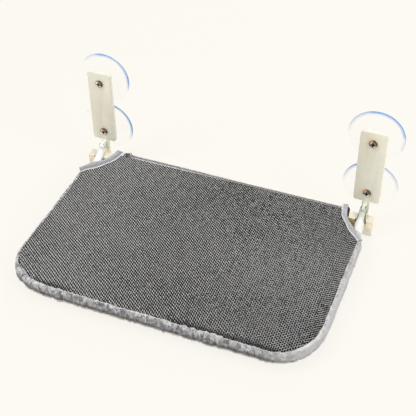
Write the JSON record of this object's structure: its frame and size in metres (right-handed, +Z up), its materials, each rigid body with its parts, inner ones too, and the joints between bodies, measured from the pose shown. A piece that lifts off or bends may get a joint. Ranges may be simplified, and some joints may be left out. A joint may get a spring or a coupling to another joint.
{
  "type": "cat window hammock",
  "caption": "Folding window bed for a cat: a woven and plush fabric panel on a tube frame, hinged to brackets that hold on the glass by suction cups.",
  "frame": {"origin": "on the glass plane, midway between the two brackets and midway between their upper and lower screws", "axes": "+X along the window to the right seen from the room, +Y into the glass, +Z up"},
  "size_m": [0.521, 0.3399, 0.1985],
  "materials": {
    "ivory_plastic": "moulded, slightly glossy ivory",
    "clear_vinyl": "clear soft vinyl with a bluish edge",
    "nickel_screw": "nickel plated with a warm tint",
    "brass_insert": "turned",
    "white_plastic": "moulded, satin white",
    "white_tube": "white powder coat",
    "pin_steel": "drawn wire",
    "pad_foam": "soft foam",
    "woven_fabric": "coarse charcoal and off-white basket weave",
    "grey_plush": "short light grey plush",
    "grey_binding": "woven binding tape",
    "grey_tape": "zip tape",
    "grey_teeth": "nylon",
    "dark_nickel": "dark nickel plated"
  },
  "bodies": {
    "window_brackets": {"left_window_bracket": "ivory_plastic", "right_window_bracket": "ivory_plastic", "left_lower_suction_cup": "clear_vinyl", "left_upper_suction_cup": "clear_vinyl", "right_lower_suction_cup": "clear_vinyl", "right_upper_suction_cup": "clear_vinyl", "left_lower_threaded_insert": "brass_insert", "left_upper_threaded_insert": "brass_insert", "right_lower_threaded_insert": "brass_insert", "right_upper_threaded_insert": "brass_insert", "left_lower_screw": "nickel_screw", "left_upper_screw": "nickel_screw", "right_lower_screw": "nickel_screw", "right_upper_screw": "nickel_screw"},
    "folding_bed": {"left_hinge_arm": "white_plastic", "right_hinge_arm": "white_plastic", "left_hinge_pin": "pin_steel", "right_hinge_pin": "pin_steel", "left_frame_tube": "white_tube", "right_frame_tube": "white_tube", "frame_joining_spigot": "white_tube", "foam_pad": "pad_foam", "woven_top_panel": "woven_fabric", "plush_under_cover": "grey_plush", "left_cutout_binding": "grey_binding", "right_cutout_binding": "grey_binding", "zip_front_tape": "grey_tape", "zip_rear_tape": "grey_tape", "zip_front_teeth": "grey_teeth", "zip_rear_teeth": "grey_teeth", "left_zip_stop": "dark_nickel", "right_zip_stop": "dark_nickel"},
    "slider": {"zip_slider": "dark_nickel"},
    "pull_ring": {"zip_pull_ring": "dark_nickel"}
  },
  "joints": [
    {"name": "bed_fold", "type": "hinge", "parent": "window_brackets", "child": "folding_bed", "pos_m": [0, -0.032, -0.0675], "axis": [-1, 0, 0], "range_deg": [0, 90]},
    {"name": "zip_slide", "type": "slide", "parent": "folding_bed", "child": "slider", "axis": [1, 0, 0], "range_m": [0, 0.353]},
    {"name": "ring_swing", "type": "hinge", "parent": "slider", "child": "pull_ring", "pos_m": [-0.17667, -0.0243, -0.07855], "axis": [0, -1, 0], "range_deg": [0, 180]}
  ]
}
